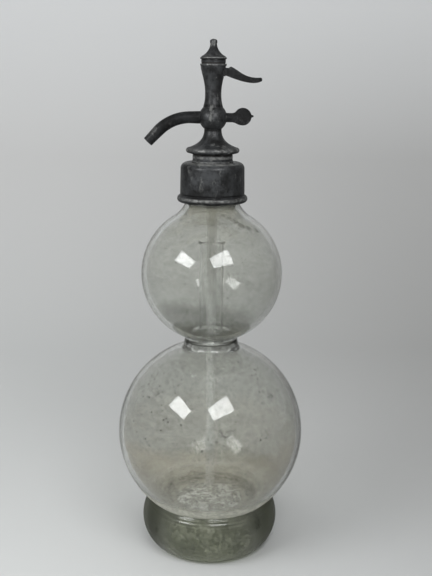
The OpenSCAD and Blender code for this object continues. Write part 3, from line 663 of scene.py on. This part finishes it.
# %% Upper residue
up = Finish("upper_residue")
height = up.axis("Z")
cloud = up.noise(28, 4, 0.6, warp=0.8)
swirl = up.noise(34, 4, 0.65, place=up.moved(turn=(0.4, 0.8, 0)), warp=1.5)
edge = height + (cloud - 0.5) * 0.024 + up.axis("X") * 0.13
smoke = 1 - edge.above(0.196, 0.212)
shoulder = height.above(0.262, 0.290)
# The throat under the collar is darkened by stain and painted shade.
throat = height.above(0.284, 0.296)
tone = up.blend(smoke, tint(up, OLD_DIRT, (0.38, 0.382, 0.335)), (0.060, 0.062, 0.050))
tone = up.blend(shoulder, tone, (0.19, 0.185, 0.145))
alpha = soil(up, 0.17) + smoke * (0.43 + cloud.above(0.4, 0.6) * 0.18)
alpha = alpha + shoulder * swirl.above(0.45, 0.62) * 0.32
stain = marks(up, UPPER, UPPER_IN, ((-61, 290.3, 4), (-58, 287, 2.8)))
curl = marks(up, UPPER, UPPER_IN, (
    (22, 290.5, 4), (31, 289, 4.5), (40, 287.5, 4), (45, 284.5, 4.5), (53, 282, 4),
    (64, 279.5, 3.5),
)) * swirl.above(0.35, 0.55)
alpha = alpha.most(curl * 0.85)
tone = up.blend(curl, tone, (0.07, 0.07, 0.055))
specking = stain.most(specks(up, 200, 0.15, up.noise(20, 1).above(0.5, 0.6)))
film(
    "upper_residue",
    between(UPPER, UPPER_IN - IN_GAP, 190.5, 285.9, 70)
    + arc(THROAT, THROAT_R + IN_GAP, 238, 180, 14)[1:] + [(15.1, 318), (15.1, 324)],
    up.blend(specking, tone, (0.04, 0.04, 0.033)),
    alpha.most(throat * 0.5).most(specking * 0.8), up,
)

# %% [markdown]
# ## Crust on the push-up
# Salts settled on the dome in the bottom and set as a pale, glittering crust. It is a cap over the
# dome: turned as one skin, cut fine, and then pushed out by a coarse and a fine cloud texture, so
# that the lumps are real and catch the windows one by one.

# %% Crust
CRUST_R, CRUST_GAP = 36, 0.6
crust_wall = LOWER_IN - CRUST_GAP
wall_z = LOWER[1] - math.sqrt(crust_wall ** 2 - CRUST_R ** 2)
crust_outline = between(LOWER, crust_wall, wall_z, 35.4, 10)
crust_outline += between(DOME, DOME_R + CRUST_GAP, 35.4, 42.59, 44)
crust = lathe("crust", crust_outline, 150)
for name, size, strength in (("lumps", 0.011, 0.0032), ("grit", 0.0035, 0.0007)):
    clouds = bpy.data.textures.new(name, "CLOUDS")
    clouds.noise_scale, clouds.noise_depth = size, 2
    push = crust.modifiers.new(name, "DISPLACE")
    push.texture, push.strength, push.mid_level = clouds, strength, 0.42
    bpy.ops.object.modifier_apply(modifier=name)
salt = Finish("salt_crust")
patch = salt.noise(160, 4, 0.7, warp=0.7)
flat = salt.moved(stretch=(1, 1, 0))
away = salt.node("ShaderNodeVectorMath", [flat], output="Value", operation="LENGTH")
edge = (away + (patch - 0.5) * 0.010).above(0.029, 0.036)
give(crust, salt.close(salt.principled(
    Base_Color=salt.blend(patch.above(0.4, 0.62), (0.42, 0.43, 0.40), (0.90, 0.92, 0.88)),
    Roughness=0.13, Specular_IOR_Level=0.9,
    Alpha=(1 - edge) * (0.62 + patch.above(0.4, 0.6) * 0.36),
    Normal=salt.bump(salt.noise(420, 3, 0.6), 0.001, 0.9),
)))
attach(crust, "bottle")
print("crust faces:", len(crust.data.polygons))

# %% [markdown]
# ## Dust and painted shade on the foot
# Dirt and wear dull the foot. Two thin skins carry that: one lines the hollow and closes it below
# the globe, the other lies on the outside. Both skins also darken the foot's left and right ends
# with painted shade. A skin was chosen over a dirtier glass, because dirt sits on a surface and
# glass stays clear behind it.

# %% Foot dust
HOLLOW_GAP, FOOT_GAP = 0.3, 0.12  # of a skin from the glass, in mm


def dust_and_shade_skin(name, points, alpha, tones, blobs=()):
    """A thin dull skin with a cloudy alpha, painted shade at its left and right ends, and dark where
    a blob is.
    """
    skin = Finish(name)
    mottle = skin.noise(60, 4, 0.65, warp=0.6).above(0.35, 0.7)
    cover = mottle * 0.5 + skin.noise(380, 3, 0.7).above(0.4, 0.7) * 0.5
    colour, full = skin.blend(cover, *tones), cover * (alpha * 0.5) + alpha * 0.7
    # Painted shade: the skin darkens towards the foot's left and right ends.
    ends = skin.axis("X").size().above(0.028, 0.050)
    colour, full = skin.blend(ends, colour, tones[0]), full.most(ends * 0.6)
    for centre, radius in blobs:
        dark = skin.spot(centre, radius, 1) * (0.5 + mottle * 0.5)
        colour, full = skin.blend(dark, colour, (0.012, 0.013, 0.010)), full.most(dark * 0.9)
    made = film(name, points, colour, full, skin)


hollow = [(34.7, 0.8), (34.3, 4), (33.4, 12), (32.4, 22), (31.8, 27.6)]
dust_and_shade_skin(
    "hollow_dust_and_shade",
    hollow + between(DOME, DOME_R - WALL - HOLLOW_GAP, 31, 37.85, 16),
    0.72, ((0.36, 0.38, 0.30), (0.60, 0.62, 0.52)),
)
dust_and_shade_skin(
    "foot_dust_and_shade",
    arc(HEEL, HEEL_R + FOOT_GAP, -70, -38.1, 10) + arc(SHOULDER, SHOULDER_R + FOOT_GAP, -36, 20, 24)
    + [(r + FOOT_GAP, z + 0.08) for r, z in foot_shoulder],
    0.36, ((0.060, 0.064, 0.042), (0.47, 0.48, 0.38)),
    (((-0.0465, -0.0330, 0.0285), 0.022), ((0.0402, -0.0390, 0.0340), 0.018)),
)

# %% [markdown]
# ## Pewter
# The head is cast pewter that was never polished again, so it is dark and satin, with blotches of
# patina, dirt and painted shade in its grooves, and lighter wear with painted glints on its rims.
# Its sides that face left and right are darkened and dulled with painted shade. Grooves and rims
# run round the axis, so a band at a height, cut off at a distance from the axis, picks each one out.

# %% Pewter
GROOVES = (  # height of a groove darkened with dirt and painted shade, how far that spreads, how far out it is, all in mm
    (308.5, 0.9, 40), (340.4, 1.6, 30), (359.6, 1.8, 12), (378.6, 1.4, 10),
    (408.6, 0.8, 10), (411.5, 0.8, 12), (414.0, 0.9, 12), (425.6, 0.7, 12),
)
RIMS = (  # height of a rim with wear and a painted glint, how far they spread, how far out it is, all in mm
    (305.2, 1.7, 40), (333.8, 1.6, 40), (338.0, 1.6, 30), (344.0, 1.8, 40),
    (410.2, 0.9, 12), (415.6, 0.7, 12),
)


def pewter_finish():
    """Dark cast metal, with dirt and painted shade in its grooves, wear and painted glints on its
    rims, and painted shade on its sides.
    """
    finish = Finish("pewter")
    height = finish.axis("Z") * 1000
    flat = finish.moved(stretch=(1000, 1000, 0))
    out = finish.node("ShaderNodeVectorMath", [flat], output="Value", operation="LENGTH")

    def bands(rows):
        total = 0
        for at, spread, reach in rows:
            near = 1 - (height - at).size().above(spread * 0.25, spread)
            near = near * (1 - out.above(reach - 1, reach))
            total = near if total == 0 else near.most(total)
        return total

    cloud = finish.noise(55, 5, 0.65)
    grime = finish.noise(260, 4, 0.65)
    pits = finish.noise(1500, 2)
    colour = finish.blend(cloud.above(0.34, 0.68), (0.011, 0.011, 0.011), (0.042, 0.044, 0.046))
    colour = finish.blend(grime.above(0.46, 0.68) * 0.6, colour, (0.003, 0.003, 0.003))
    # Painted shade: the sides that face left and right are darker and less glossy.
    across = (finish.axis("X").size() * 1000 / out).above(0.4, 0.98) * 0.7
    colour = finish.blend(across, colour, (0.005, 0.005, 0.005))
    # The grooves are darkened with dirt and painted shade.
    colour = finish.blend(bands(GROOVES) * 0.9, colour, (0.002, 0.002, 0.002))
    # The rims are lightened with wear and painted glints.
    wear_and_glint = bands(RIMS) * (0.12 + grime.above(0.42, 0.62) * 0.42)
    rub = finish.noise(150, 4, 0.7, place=finish.moved(stretch=(1, 1, 0.5), turn=(0.5, 0.3, 0)))
    wear_and_glint = wear_and_glint.most(rub.above(0.54, 0.72) * 0.4)
    colour = finish.blend(wear_and_glint * (1 - across * 0.6), colour, (0.26, 0.262, 0.25))
    shine = (0.10 + cloud.above(0.35, 0.65) * 0.22 + wear_and_glint * 0.9) * (1 - across)
    normal = finish.bump(grime * 0.7 + pits * 0.4 + cloud * 1.2, 0.0006, 0.8)
    return finish.close(finish.principled(
        Base_Color=colour, Roughness=0.45, Normal=normal, Specular_IOR_Level=0.08,
        Coat_Weight=shine, Coat_Roughness=0.27,
    ))

# %% [markdown]
# ## Brass, rubber, leather and cement
# The pieces inside the head show little, but each has its own stuff: brass for the valve, rubber
# and leather for the seals, cement round the neck. One recipe serves them all, noise between two
# tones with a fine bump, because only their colour, grain and gloss differ. The record says which
# stuff a piece is made of.

# %% Solid finishes
def plain_finish(name, low, high, scale, rough, metal=0.0):
    """A matt or metal finish whose colour drifts between two tones."""
    finish = Finish(name)
    drift = finish.noise(scale, 4, 0.6)
    fine = finish.noise(scale * 9, 2)
    colour = finish.blend(drift.above(0.3, 0.7), low, high)
    return finish.close(finish.principled(
        Base_Color=colour, Metallic=metal, Roughness=rough + fine * 0.15,
        Normal=finish.bump(fine + drift, 0.0001, 0.5),
    ))


FINISHES = {
    "pewter": pewter_finish(),
    "brass": plain_finish("old_brass", (0.36, 0.27, 0.13), (0.55, 0.42, 0.22), 120, 0.35, 1.0),
    "rubber": plain_finish("black_rubber", (0.018, 0.017, 0.017), (0.03, 0.03, 0.03), 200, 0.6),
    "leather": plain_finish("old_leather", (0.010, 0.008, 0.007), (0.022, 0.017, 0.014), 300, 0.7),
    "cement": plain_finish("old_cement", (0.42, 0.38, 0.28), (0.6, 0.55, 0.44), 150, 0.85),
    "spring_steel": plain_finish("spring_steel", (0.28, 0.28, 0.28), (0.4, 0.4, 0.39), 300, 0.3, 1.0),
}
for part in frame["record"]["subparts"]:
    if part["material_slot"] in FINISHES:
        give(frame["nodes"][part["node"]], FINISHES[part["material_slot"]])
give(frame["nodes"]["lever_pin"], FINISHES["pewter"])

# %% [markdown]
# ## The spring
# The spring that shuts the valve sits on a collar on the rod, under a bush in the top of the
# column. It shortens when the lever lifts the rod, and a solid that only moves would go into the
# bush. So a coil is wound again: a small ring is carried up and round by a Screw modifier.

# %% Spring
WIRE, TURNS = 0.0009, 6
WIRE_SIDES, TURN_STEPS = 10, 20

coil_low, coil_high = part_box("valve_spring")
coil_r = (coil_high.x - coil_low.x - WIRE) / 2
bpy.ops.object.select_all(action="DESELECT")
bpy.ops.mesh.primitive_circle_add(vertices=WIRE_SIDES, radius=WIRE / 2, location=(0, 0, 0))
spring = bpy.context.object
spring.name = spring.data.name = "wound_spring"
bpy.ops.object.mode_set(mode="EDIT")
bpy.ops.mesh.select_all(action="SELECT")
bpy.ops.transform.rotate(value=math.pi / 2, orient_axis="X", center_override=(0, 0, 0))
bpy.ops.transform.translate(value=(coil_r, 0, coil_low.z + WIRE / 2))
bpy.ops.object.mode_set(mode="OBJECT")
winding = spring.modifiers.new("winding", "SCREW")
winding.angle = 2 * math.pi * TURNS
winding.screw_offset = coil_high.z - coil_low.z - WIRE
winding.steps = winding.render_steps = TURN_STEPS * TURNS
bpy.ops.object.modifier_apply(modifier="winding")
bpy.ops.object.mode_set(mode="EDIT")
bpy.ops.mesh.select_all(action="SELECT")
bpy.ops.mesh.fill_holes(sides=WIRE_SIDES)
bpy.ops.mesh.select_all(action="SELECT")
bpy.ops.mesh.normals_make_consistent(inside=False)
bpy.ops.object.mode_set(mode="OBJECT")
bpy.ops.object.shade_smooth_by_angle(angle=math.radians(50))
give(spring, FINISHES["spring_steel"])
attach(spring, "valve")
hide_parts("valve_spring")
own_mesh(spring)
